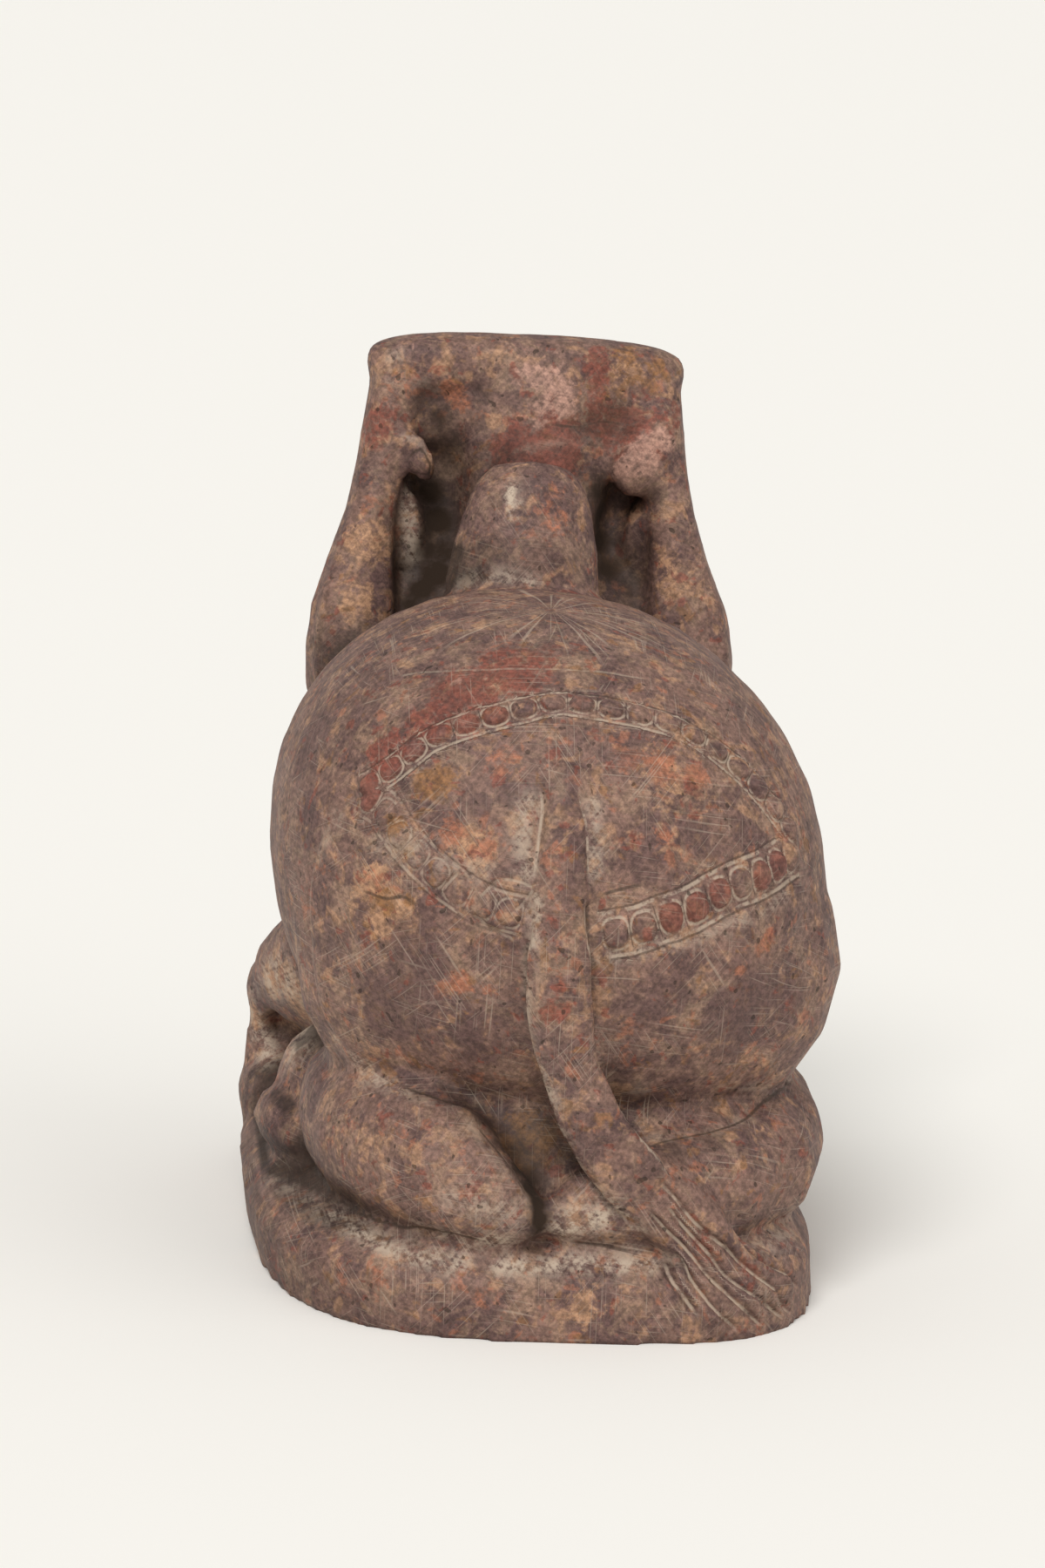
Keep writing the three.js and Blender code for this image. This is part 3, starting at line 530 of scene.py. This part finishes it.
class Carving:
    """The stone's vertices as arrays in millimetres, with what is raised, cut and coloured at each."""

    def __init__(self, mesh):
        self.mesh = mesh
        self.read()

    def read(self):
        """Takes up the mesh as it is now, with nothing yet marked, raised or cut."""
        self.points = mesh_points(self.mesh)
        count = len(self.points)
        pairs = np.empty(len(self.mesh.edges) * 2, np.int64)
        self.mesh.edges.foreach_get("vertices", pairs)
        self.pairs = pairs.reshape(-1, 2)
        self.degree = np.bincount(pairs, minlength=count).clip(1)
        self.marks = {name: np.zeros(count) for name in MARKS}
        self.line = np.zeros((count, 3))
        self.line_distance = np.full(count, np.inf)
        self.strap = np.zeros((count, 3))
        self.strap_distance = np.full(count, np.inf)
        self.rise = np.zeros(count)

    def write(self):
        self.mesh.vertices.foreach_set("co", (self.points * MM).ravel())
        self.mesh.update()

    def around(self, values):
        """The mean of each vertex's neighbours."""
        a, b = self.pairs.T
        columns = values.reshape(len(values), -1).T
        sums = [
            np.bincount(a, c[b], minlength=len(c)) + np.bincount(b, c[a], minlength=len(c))
            for c in columns
        ]
        return (np.array(sums) / self.degree).T.reshape(values.shape)

    def soften(self, rounds):
        """Wears the form down without shrinking it."""
        for _ in range(rounds):
            for factor in (SOFTEN_IN, SOFTEN_OUT):
                self.points += factor * (self.around(self.points) - self.points)

    def find_normals(self):
        """Writes the form and reads which way it faces at each vertex."""
        self.write()
        flat = np.empty(len(self.mesh.vertices) * 3, np.float32)
        self.mesh.vertices.foreach_get("normal", flat)
        self.normals = flat.reshape(-1, 3).astype(float)

    def surface(self):
        """The surface in millimetres, to search for near places and things in the way."""
        polygons = [tuple(p.vertices) for p in self.mesh.polygons]
        return BVHTree.FromPolygons([Vector(p) for p in self.points], polygons)

    def keep_ground(self):
        """Keeps the surface as it is now, to lay lines on."""
        self.ground = self.surface()

    def laid(self, points):
        """A smooth line through the points, laid on the kept surface."""
        return np.array([self.ground.find_nearest(Vector(p))[0] for p in smooth_line(points)])

    def near(self, line, reach):
        """The vertices near the line: numbers, distances, places along it and signed places across it."""
        which = in_box_round(line, self.points, reach)
        spot = self.points[which]
        best = np.full(len(which), np.inf)
        along = np.zeros(len(which))
        offset = np.zeros((len(which), 3))
        forward = np.zeros((len(which), 3))
        travelled = 0
        for start, end in zip(line, line[1:]):
            span = end - start
            length = np.linalg.norm(span)
            if length < 1e-9:
                continue
            share = np.clip((spot - start) @ span / length**2, 0, 1)
            gap = spot - start - share[:, None] * span
            distance = np.linalg.norm(gap, axis=1)
            closer = distance < best
            best[closer] = distance[closer]
            along[closer] = travelled + share[closer] * length
            offset[closer] = gap[closer]
            forward[closer] = span / length
            travelled += length
        side = np.sign((np.cross(self.normals[which], forward) * offset).sum(1))
        keep = best < reach
        return which[keep], best[keep], along[keep], (side * best)[keep]

    def mark(self, name, which, amount):
        layer = self.marks[name]
        layer[which] = np.maximum(layer[which], amount)

    def groove(self, line, half_width, depth, dust, dirt_and_shade, fade):
        """An incised line that fades out at both ends, with pale dust in it and a dark of dirt and painted
        shade along it.
        """
        length = line_length(line)
        which, distance, along, across = self.near(line, max(GROOVE_REACH, half_width * 3))
        ends = smooth_step(0, fade, along + 0.2) * smooth_step(0, fade, length - along + 0.2)
        self.rise[which] -= depth * bell(distance / half_width) * ends
        closer = distance < self.line_distance[which]
        chosen = which[closer]
        self.line_distance[chosen] = distance[closer]
        weight = ends * smooth_step(1.5, 0.8, distance)
        self.line[chosen] = np.array([across, weight * dust, weight * dirt_and_shade]).T[closer]

    def dust_along(self, line, half_width, strength):
        which, distance, _, _ = self.near(line, half_width * 2.5)
        self.mark("dust", which, strength * bell(distance / half_width))

    def raise_between(self, left, right, rise):
        """Lifts the stone between two edges that run down side by side, fading out at both ends."""
        lift = np.full(len(self.points), rise)
        for edge, inner in ((left, 1), (right, -1)):
            which, _, along, across = self.near(edge, TAIL_REACH)
            top = smooth_step(0, TAIL_TOP_FADE, along)
            foot = smooth_step(0, TAIL_FOOT_FADE, line_length(edge) - along)
            share = np.zeros(len(self.points))
            share[which] = smooth_step(-0.1, 0.35, inner * across) * (top * foot)
            lift *= share
        self.rise += lift

    def away_from(self, centre):
        return np.linalg.norm(self.points - np.array(centre), axis=1)

    def patch(self, name, centre, radius, strength):
        """Marks a round place that fades out at its edge."""
        fade = 1 - smooth_step(0.2, 1.5, self.away_from(centre) / radius)
        self.mark(name, slice(None), strength * fade)

    def clean(self, centre, radius):
        """Takes the painted dark of the hollows and most of the painted shade off a place."""
        left = smooth_step(0.5, 1.2, self.away_from(centre) / radius)
        self.marks["grime_and_shade"] *= left
        self.marks["shade"] *= 0.2 + 0.8 * left

    def rise_and_fit(self):
        """Moves the surface by what is raised and cut, inside the solid's box and flat underneath."""
        uneven = sum(height * undulation(self.points, size, seed) for height, size, seed in UNEVENNESS)
        low, high = np.array(SOLID_BOX) / MM
        moved = self.points + self.normals * (self.rise + uneven)[:, None]
        self.points = np.clip(moved, low + BOX_MARGIN, high - BOX_MARGIN)
        self.points[:, 2] = np.where(self.points[:, 2] < FLAT_BELOW, low[2], self.points[:, 2])
        self.find_normals()

    def store(self):
        """Puts what the material reads into the mesh."""
        for name, values in (("strap", self.strap), ("line", self.line), ("facing", self.normals)):
            layer = self.mesh.attributes.new(name, "FLOAT_VECTOR", "POINT")
            layer.data.foreach_set("vector", values.astype(np.float32).ravel())
        for name, values in self.marks.items():
            layer = self.mesh.attributes.new(name, "FLOAT", "POINT")
            layer.data.foreach_set("value", values.astype(np.float32))
        self.mesh.polygons.foreach_set("use_smooth", [True] * len(self.mesh.polygons))


def undulation(points, size, seed):
    """Soft noise at each point, from about -1 to 1."""
    shift = Vector((seed, -seed, 2 * seed))
    return np.array([noise.noise(Vector(p) / size + shift) for p in points])


def strap(carving, line, settings, half_width, red_cells, wear):
    """A band of beads, each in a cell of its own, between two incised borders."""
    near = carving.near(line, half_width * 1.8)
    which, distance, along, across = near
    length = line_length(line)
    chosen = (distance < carving.strap_distance[which]) & (along > 1e-6) & (along < length - 1e-6)
    which, distance, along, across = (values[chosen] for values in near)
    count = max(1, round(length / (settings.bead_length / MM)))
    cell = along / length * count
    side = across / half_width
    weight = smooth_step(1.75, 1.45, np.abs(side)) * (1 - wear)
    carving.strap_distance[which] = distance
    carving.strap[which] = np.array([cell, side, weight]).T
    lengthwise = (np.abs(cell % 1 - 0.5) / CELL_LENGTH) ** CELL_POWER
    crosswise = (np.abs(side) / CELL_WIDTH) ** CELL_POWER
    r = (lengthwise + crosswise) ** (1 / CELL_POWER)
    dome = np.sqrt(np.clip(1 - r**2, 0, 1))
    rim = bell((r - RIM_PLACE) / RIM_WIDTH) * (np.abs(side) < 1.15)
    border = bell((np.abs(side) - BORDER_PLACE) / BORDER_WIDTH)
    cut = settings.groove_depth / MM * (0.9 * rim + border)
    carving.rise[which] += (1 - 0.5 * wear) * (settings.bead_rise / MM * dome - cut)
    red = np.isin(np.floor(cell).astype(int), red_cells)
    carving.mark("bead", which, red * smooth_step(1.2, 0.9, r))


def hidden_sky(points, normals, surface):
    """How much of the open sky each point misses, from 0 to 1."""
    generator = np.random.default_rng(7)
    directions = generator.normal(size=(SKY_RAYS, 3))
    directions /= np.linalg.norm(directions, axis=1)[:, None]
    hidden = np.zeros(len(points))
    total = np.zeros(len(points))
    places = points + normals * 0.4
    starts = [Vector(p) for p in places]
    for direction in directions:
        facing = normals @ direction
        way = Vector(direction)
        meets_floor = places[:, 2] + direction[2] * 2 * SKY_REACH < 0
        for i in np.flatnonzero(facing > 0.1):
            total[i] += facing[i]
            if surface.ray_cast(starts[i], way, SKY_REACH)[0] is not None:
                hidden[i] += facing[i]
            elif meets_floor[i]:
                hidden[i] += facing[i] * FLOOR_SHARE
    return hidden / np.maximum(total, 0.1)


def carve(carving, settings):
    """Beads the straps, lifts the tail and cuts the incised lines."""
    for points, half_width, red_cells, wear in STRAPS:
        strap(carving, carving.laid(points), settings, half_width, red_cells, wear)
    tail_edges = carving.laid(TAIL_LEFT_EDGE), carving.laid(TAIL_RIGHT_EDGE)
    carving.raise_between(*tail_edges, settings.tail_rise / MM)
    depth = settings.groove_depth / MM
    for lines, half_width, depths, dust, dirt_and_shade, fade in grooves():
        for points in lines:
            carving.groove(carving.laid(points), half_width, depth * depths, dust, dirt_and_shade, fade)


def dust_and_patches(carving):
    """Marks the dust along lines and the patches of painted shade and colour. The dust and tan over the knee
    are partly painted light.
    """
    carving.dust_along(carving.laid(moved_across(TAIL_LEFT_EDGE, -TAIL_RIM_WIDTH)), 1.3, 1.1)
    for points, half_width, strength in DUST_AND_LIGHT_LINES:
        carving.dust_along(carving.laid(points), half_width, strength)
    for name, patches in PATCHES.items():
        for centre, radius, strength in patches:
            carving.patch(name, centre, radius, strength)


def shade_hollows(carving):
    """Marks painted shade where little of the sky is seen, darker still in the deepest hollows, and takes it
    off the places that stay lighter.
    """
    hidden = hidden_sky(carving.points, carving.normals, carving.surface())
    carving.mark("shade", slice(None), smooth_step(0.05, 0.90, hidden))
    # Painted shade, darkest where almost none of the sky is seen.
    carving.mark("grime_and_shade", slice(None), 0.8 * smooth_step(0.62, 1.0, hidden))
    for centre, radius in UNSHADED_PLACES:
        carving.clean(centre, radius)


class Finish:
    """A material, built node by node on Object coordinates."""

    def __init__(self, name):
        self.material = bpy.data.materials.new(name)
        self.material.use_nodes = True
        self.tree = self.material.node_tree
        self.tree.nodes.clear()
        self.place = self.tree.nodes.new("ShaderNodeTexCoord").outputs["Object"]

    def node(self, kind, inputs, **settings):
        made = self.tree.nodes.new("ShaderNode" + kind)
        for name, value in settings.items():
            setattr(made, name, value)
        for key, value in inputs.items():
            if isinstance(value, bpy.types.NodeSocket):
                self.tree.links.new(value, made.inputs[key])
            else:
                made.inputs[key].default_value = value
        return made

    def noise(self, scale, detail=2.0, roughness=0.5, distortion=0.0, place=None):
        inputs = {
            "Vector": place or self.place,
            "Scale": scale,
            "Detail": detail,
            "Roughness": roughness,
            "Distortion": distortion,
        }
        return self.node("TexNoise", inputs).outputs["Fac"]

    def drawn_out(self, rotation, size):
        """Coordinates in which features have this size along each axis, turned by the rotation."""
        inputs = {"Vector": self.place, "Rotation": rotation, "Scale": size}
        return self.node("Mapping", inputs, vector_type="TEXTURE").outputs[0]

    def moved(self, shift):
        return self.node("VectorMath", {0: self.place, 1: shift}, operation="ADD").outputs[0]

    def step(self, value, low, high, to=1.0, start=0.0):
        """A smooth step of the value, from start at low to the given height at high."""
        if low > high:
            low, high, start, to = high, low, to, start
        inputs = {"Value": value, 1: low, 2: high, 3: start, 4: to}
        return self.node("MapRange", inputs, interpolation_type="SMOOTHSTEP").outputs[0]

    def math(self, operation, a, b=0.0):
        return self.node("Math", {0: a, 1: b}, operation=operation).outputs[0]

    def joined(self, operation, values):
        total = values[0]
        for value in values[1:]:
            total = self.math(operation, total, value)
        return total

    def times(self, *values):
        return self.joined("MULTIPLY", values)

    def most(self, *values):
        return self.joined("MAXIMUM", values)

    def apart(self, a, b):
        """How far a is from b, either way."""
        return self.math("ABSOLUTE", self.math("SUBTRACT", a, b))

    def attribute(self, name):
        return self.node("Attribute", {}, attribute_name=name, attribute_type="GEOMETRY").outputs

    def mark(self, name):
        return self.attribute(name)["Fac"]

    def parts(self, vector):
        return self.node("SeparateXYZ", {0: vector}).outputs

    def mix(self, amount, under, over, blend="MIX"):
        inputs = {0: amount, 6: under, 7: over}
        return self.node("Mix", inputs, data_type="RGBA", blend_type=blend).outputs[2]


def parallel_marks(finish, rotation, thin, size, detail):
    """Noise in long thin marks, as wide and long as the size says."""
    width, length = size
    stretched = [length] * 3
    stretched[thin] = width
    return finish.noise(1.0, detail=detail, roughness=0.6, place=finish.drawn_out(rotation, stretched))


def facing_away(finish, rotation, thin):
    """Fades from 1 to 0 where the surface faces along the axis that the marks are thin along."""
    axis = Euler(rotation).to_matrix().col[thin]
    facing = finish.attribute("facing")["Vector"]
    along = finish.node("VectorMath", {0: facing, 1: axis}, operation="DOT_PRODUCT").outputs["Value"]
    return finish.step(finish.math("ABSOLUTE", along), 0.85, 0.55)


def scratches(finish):
    """Fine straight scratches in several directions, from 0 to 1. The head has few."""
    total = 0.0
    for number, (rotation, thin) in enumerate(RUBBED):
        marks = finish.step(parallel_marks(finish, rotation, thin, SCRATCH_SIZE, 0.0), 0.68, 0.78)
        spread = finish.noise(110, detail=2.0, place=finish.moved((0.1 * number, 0, 0)))
        where = finish.step(spread, 0.46, 0.62)
        total = finish.most(finish.times(marks, where, facing_away(finish, rotation, thin)), total)
    along_body = finish.parts(finish.place)[1]
    return finish.times(total, finish.step(along_body, -0.025, 0.020, 1.0, 0.2))


def rubbing(finish):
    """Fine streaks that lighten and darken the stone, from 0 to 1 about a half."""
    total = 0.0
    for rotation, thin in RUBBED[1:4]:
        streaks = parallel_marks(finish, rotation, thin, STREAK_SIZE, 2.0)
        total = finish.math("ADD", total, finish.times(streaks, 1 / 3))
    return total


def zone(finish, name, size, shift):
    """A marked patch with a ragged edge."""
    ragged = finish.noise(size, detail=6, roughness=0.66, distortion=0.4, place=finish.moved(shift))
    return finish.step(finish.math("ADD", finish.mark(name), finish.times(ragged, 2.2)), 1.42, 1.80)


def strap_lines(finish):
    """Pale rims of the strap's cells and its borders, and the dark gaps between the cells."""
    cell, side, weight = finish.parts(finish.attribute("strap")["Vector"])
    across = finish.math("ABSOLUTE", side)
    from_middle = finish.apart(finish.math("FRACT", cell), 0.5)
    lengthwise = finish.math("POWER", finish.math("DIVIDE", from_middle, CELL_LENGTH), CELL_POWER)
    crosswise = finish.math("POWER", finish.math("DIVIDE", across, CELL_WIDTH), CELL_POWER)
    r = finish.math("POWER", finish.math("ADD", lengthwise, crosswise), 1 / CELL_POWER)
    rim = finish.times(finish.step(r, 0.98, 1.07), finish.step(r, 1.30, 1.14))
    border = finish.step(finish.apart(across, BORDER_PLACE - 0.02), 0.16, 0.05)
    worn = finish.noise(420, detail=5, roughness=0.7, place=finish.moved((0.3, 0, 0)))
    pale = finish.times(finish.most(rim, border), weight, finish.step(worn, 0.40, 0.56))
    gap = finish.times(finish.step(from_middle, 0.465, 0.495), finish.step(across, 1.0, 0.8), weight)
    under = finish.step(finish.apart(across, BORDER_PLACE + 0.13), 0.09, 0.03)
    return pale, finish.most(gap, finish.times(under, weight))


def turning_noise(finish, turn, rays, detail):
    """Noise that changes so many times with the turn round a point."""
    inputs = {"W": finish.times(turn, rays), "Scale": 1.0, "Detail": detail}
    return finish.node("TexNoise", inputs, noise_dimensions="1D").outputs["Fac"]


def burst(finish):
    """Fine pale rays round a point of the back."""
    x, y, z = finish.parts(finish.moved((-BURST[0] * MM, -BURST[1] * MM, 0.0)))
    turn = finish.math("ARCTAN2", y, x)
    out = finish.math("SQRT", finish.math("ADD", finish.times(x, x), finish.times(y, y)))
    ray = finish.step(turning_noise(finish, turn, 13.0, 1.0), 0.60, 0.66)
    reach = finish.times(turning_noise(finish, turn, 2.4, 2.0), 0.030)
    ends = finish.step(finish.math("SUBTRACT", out, reach), 0.002, -0.004)
    return finish.times(ray, ends, finish.step(out, 0.0008, 0.002), finish.step(z, 0.083, 0.087))


def stone_colour(finish, settings, streaks, grain):
    """Mauve brown clouds with tan, orange, ochre, brick and pink spots, streaked, grained and shaded."""
    clouds = finish.noise(125, detail=8, roughness=0.72, distortion=0.7)
    colour = finish.mix(finish.step(clouds, 0.40, 0.57), settings.plum, settings.mauve)
    light = finish.noise(190, detail=7, roughness=0.70, distortion=0.6, place=finish.moved((0.2, 0, 0)))
    colour = finish.mix(finish.step(light, 0.48, 0.64, 0.60), colour, settings.buff)
    strokes = finish.step(streaks, 0.34, 0.56, 1.0, 0.45)
    for number, (name, size, low, high, strength) in enumerate(SPOTS):
        shift = (0.31 * number + 0.4, 0.17 * number, 0.0)
        mottle = finish.noise(size, detail=3, roughness=0.58, distortion=0.4, place=finish.moved(shift))
        marked = finish.times(zone(finish, name, size * 1.6, shift), strokes, 0.88)
        amount = finish.most(finish.times(finish.step(mottle, low, high), strength), marked)
        colour = finish.mix(amount, colour, getattr(settings, name))
    red = finish.times(finish.mark("bead"), finish.step(clouds, 0.35, 0.60, 0.75, 0.35))
    colour = finish.mix(red, colour, settings.brick)
    for change in (
        finish.step(streaks, 0.36, 0.64, 1.22, 0.80),
        finish.step(grain, 0.36, 0.64, 1.32, 0.72),
        finish.step(finish.mark("shade"), 0.0, 1.0, 0.52, 1.04),
    ):
        colour = finish.mix(1.0, colour, change, "MULTIPLY")
    return colour


def soapstone(settings):
    """Rubbed soapstone with dust in the carving, part of it painted light on the knee, fine scratches, small
    pits, and painted shade with dirt in the hollows and creases.
    """
    finish = Finish("mottled_soapstone")
    streaks = rubbing(finish)
    scratch = scratches(finish)
    grain = finish.noise(1300, detail=5, roughness=0.72)
    pits = finish.step(finish.noise(900, detail=0.0, place=finish.moved((0.5, 0, 0))), 0.215, 0.18)
    strap_dust, strap_gaps_dark = strap_lines(finish)
    offset, line_dust, line_dirt_and_shade = finish.parts(finish.attribute("line")["Vector"])
    from_line = finish.math("ABSOLUTE", offset)
    broken = finish.step(finish.noise(350, detail=4, roughness=0.7), 0.34, 0.56)
    patchy = finish.step(finish.noise(380, detail=6, roughness=0.75), 0.40, 0.58)
    dusty = finish.most(
        strap_dust,
        finish.times(finish.step(from_line, 0.34, 0.08), line_dust, broken),
        finish.times(finish.mark("dust"), patchy, finish.step(streaks, 0.38, 0.52)),
        finish.times(burst(finish), 0.55),
    )
    # The dark of painted shade in hollows, creases and strap gaps, and of dirt in cuts and pits.
    dark_patchiness = finish.step(finish.noise(190, detail=5, roughness=0.65), 0.25, 0.55, 1.0, 0.6)
    dirty_and_shaded = finish.most(
        finish.times(finish.mark("grime_and_shade"), dark_patchiness),
        finish.times(finish.step(from_line, 0.36, 0.10), line_dirt_and_shade),
        finish.times(strap_gaps_dark, 0.6),
        finish.times(pits, 0.75),
    )
    colour = stone_colour(finish, settings, streaks, grain)
    colour = finish.mix(finish.times(dusty, 0.70), colour, settings.dust)
    colour = finish.mix(finish.times(scratch, 0.30), colour, settings.dust)
    colour = finish.mix(finish.times(dirty_and_shaded, 0.90), colour, settings.grime_and_shade)
    rough = finish.math("ADD", 0.52, finish.times(finish.noise(150, detail=4), 0.22))
    rough = finish.most(rough, finish.times(finish.most(dusty, dirty_and_shaded), 0.9))
    height = finish.math("ADD", finish.times(grain, 0.4), streaks)
    height = finish.math("SUBTRACT", height, finish.times(scratch, 0.2))
    height = finish.math("SUBTRACT", height, finish.times(pits, 0.8))
    bump = finish.node("Bump", {"Strength": 0.5, "Distance": 0.00015, "Height": height}).outputs[0]
    look = {"Base Color": colour, "Roughness": rough, "Normal": bump, "IOR": 1.5, "Specular IOR Level": 0.28}
    shader = finish.node("BsdfPrincipled", look)
    finish.node("OutputMaterial", {"Surface": shader.outputs[0]})
    return finish.material


class NANDI_OT_stone(Operator):
    """Carve the bull and its base from one block of soapstone"""

    bl_idname = "nandi.stone"
    bl_label = "Carve the stone"

    def execute(self, context):
        settings = context.scene.nandi_stone
        stone = bpy.data.objects.new("nandi_stone", merged_copy(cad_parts["nandi_bull"], "nandi_stone"))
        context.scene.collection.objects.link(stone)
        even_mesh(stone, settings.mesh_size)
        carving = Carving(stone.data)
        carving.soften(settings.softening)
        carving.write()
        carving.keep_ground()
        finest = [*(points for points, *_ in STRAPS), *TAIL_ROOT, *TUFT, *STRAP_WORN_LINES]
        fine = [*finest, TAIL_LEFT_EDGE, TAIL_RIGHT_EDGE, *plain_lines(), *BURST_LINES, BACK_LINE]
        for lines, (reach, rounds) in ((fine, FINE), (finest, FINEST)):
            refine(stone.data, [carving.laid(points) for points in lines], reach)
            carving.read()
            carving.soften(rounds)
            carving.find_normals()
        carve(carving, settings)
        dust_and_patches(carving)
        carving.rise_and_fit()
        shade_hollows(carving)
        carving.store()
        stone.data.materials.clear()
        stone.data.materials.append(soapstone(settings))
        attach(stone, "root")
        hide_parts("nandi_bull")
        triangles = sum(len(p.vertices) - 2 for p in stone.data.polygons)
        if triangles >= MOST_TRIANGLES:
            raise RuntimeError(f"The stone has {triangles} triangles, not under {MOST_TRIANGLES}")
        return {"FINISHED"}


def broad_light(name, strength, direction, width):
    """Even light from a part of the sky in that direction, so many degrees wide."""
    lamp = bpy.data.lights.new(name, "SUN")
    lamp.energy = strength
    lamp.angle = math.radians(width)
    light = bpy.data.objects.new(name, lamp)
    light.location = Vector(direction) * 0.5
    light.rotation_euler = Vector(direction).to_track_quat("Z", "Y").to_euler()
    bpy.context.scene.collection.objects.link(light)


def pale_floor(colour):
    """A wide round floor."""
    form = bmesh.new()
    bmesh.ops.create_circle(form, cap_ends=True, segments=96, radius=FLOOR_RADIUS)
    mesh = bpy.data.meshes.new("floor")
    form.to_mesh(mesh)
    form.free()
    finish = Finish("pale_floor")
    shader = finish.node("BsdfPrincipled", {"Base Color": colour, "Roughness": 0.9})
    finish.node("OutputMaterial", {"Surface": shader.outputs[0]})
    mesh.materials.append(finish.material)
    return bpy.data.objects.new("floor", mesh)


def tilted_camera():
    """A camera behind the figure, a little above it and slightly tilted."""
    azimuth, elevation, roll = map(math.radians, CAMERA_TURNS)
    level = math.cos(elevation)
    back = Vector((math.sin(azimuth) * level, -math.cos(azimuth) * level, math.sin(elevation)))
    right = Vector((math.cos(azimuth), math.sin(azimuth), 0))
    up = back.cross(right)
    turned_right = right * math.cos(roll) + up * math.sin(roll)
    turned_up = up * math.cos(roll) - right * math.sin(roll)
    turn = Matrix((turned_right, turned_up, back)).transposed().to_4x4()
    lens = bpy.data.cameras.new("camera")
    lens.sensor_fit = "VERTICAL"
    lens.sensor_height = SENSOR_HEIGHT
    lens.lens = LENS_LENGTH
    camera = bpy.data.objects.new("camera", lens)
    camera.matrix_world = Matrix.Translation(Vector(CAMERA_TARGET) * MM + back * CAMERA_DISTANCE) @ turn
    return camera


class NANDI_OT_stage(Operator):
    """Set the floor, the studio lights and the camera"""

    bl_idname = "nandi.stage"
    bl_label = "Set the stage"

    def execute(self, context):
        scene = context.scene
        settings = scene.nandi_stage
        floor = pale_floor(settings.floor_colour)
        scene.collection.objects.link(floor)
        world = bpy.data.worlds.new("studio")
        world.use_nodes = True
        background = world.node_tree.nodes["Background"]
        background.inputs["Color"].default_value = settings.sky_colour
        background.inputs["Strength"].default_value = settings.sky
        scene.world = world
        broad_light("key", settings.key_strength, *KEY_LIGHT)
        broad_light("fill", settings.fill_strength, *FILL_LIGHT)
        camera = tilted_camera()
        scene.collection.objects.link(camera)
        scene.camera = camera
        scene.view_settings.view_transform = "Standard"
        return {"FINISHED"}


class NANDI_PT_panel(Panel):
    """Sizes and colours of the figure and its stage"""

    bl_idname = "NANDI_PT_panel"
    bl_label = "Nandi bull figure"
    bl_space_type = "VIEW_3D"
    bl_region_type = "UI"
    bl_category = "Nandi"

    def draw(self, context):
        scene = context.scene
        for settings, operator in ((scene.nandi_stone, "nandi.stone"), (scene.nandi_stage, "nandi.stage")):
            column = self.layout.column()
            for name in settings.bl_rna.properties.keys():
                if name not in ("name", "rna_type"):
                    column.prop(settings, name)
            column.operator(operator)


CLASSES = (NandiStoneSettings, NandiStageSettings, NANDI_OT_stone, NANDI_OT_stage, NANDI_PT_panel)


def register():
    for cls in CLASSES:
        bpy.utils.register_class(cls)
    bpy.types.Scene.nandi_stone = PointerProperty(type=NandiStoneSettings)
    bpy.types.Scene.nandi_stage = PointerProperty(type=NandiStageSettings)


def unregister():
    del bpy.types.Scene.nandi_stage
    del bpy.types.Scene.nandi_stone
    for cls in reversed(CLASSES):
        bpy.utils.unregister_class(cls)


def main():
    register()
    bpy.ops.nandi.stage()
    bpy.ops.nandi.stone()


if __name__ == "__main__":
    main()
